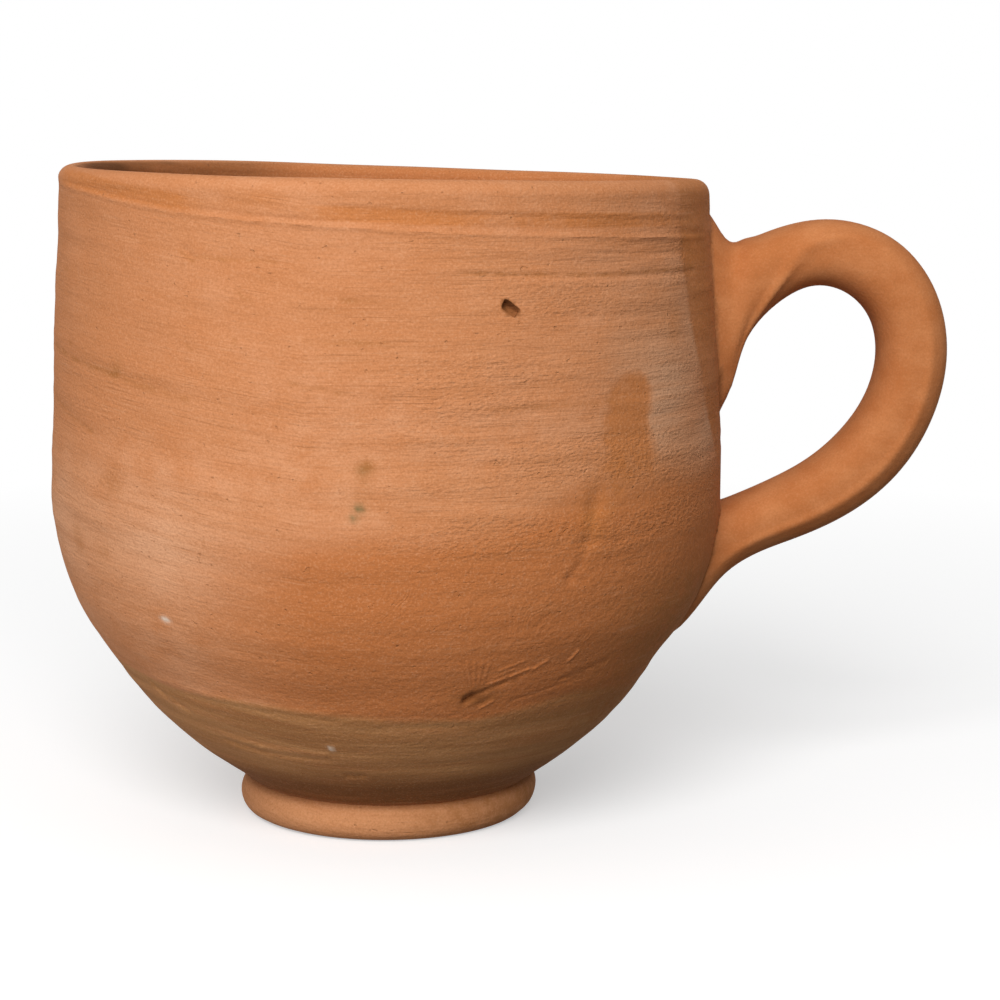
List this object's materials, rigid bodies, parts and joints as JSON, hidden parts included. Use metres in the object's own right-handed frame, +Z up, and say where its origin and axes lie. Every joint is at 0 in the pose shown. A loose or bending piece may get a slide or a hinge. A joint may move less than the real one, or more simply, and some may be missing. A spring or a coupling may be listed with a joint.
{
  "type": "terracotta mug",
  "caption": "Hand-thrown terracotta mug with a round belly, a small foot, a rim that dips slightly towards the handle and a pulled loop handle.",
  "frame": {"origin": "middle of the foot's flat underside, on the axis the body was thrown about", "axes": "+Z up along the throwing axis, +X towards the handle, +Y to the back of the mug as the picture shows it"},
  "size_m": [0.1232, 0.0922, 0.09],
  "materials": {
    "terracotta": "unglazed fired clay, matt, with wheel marks"
  },
  "bodies": {
    "root": {"mug": "terracotta"}
  },
  "joints": []
}
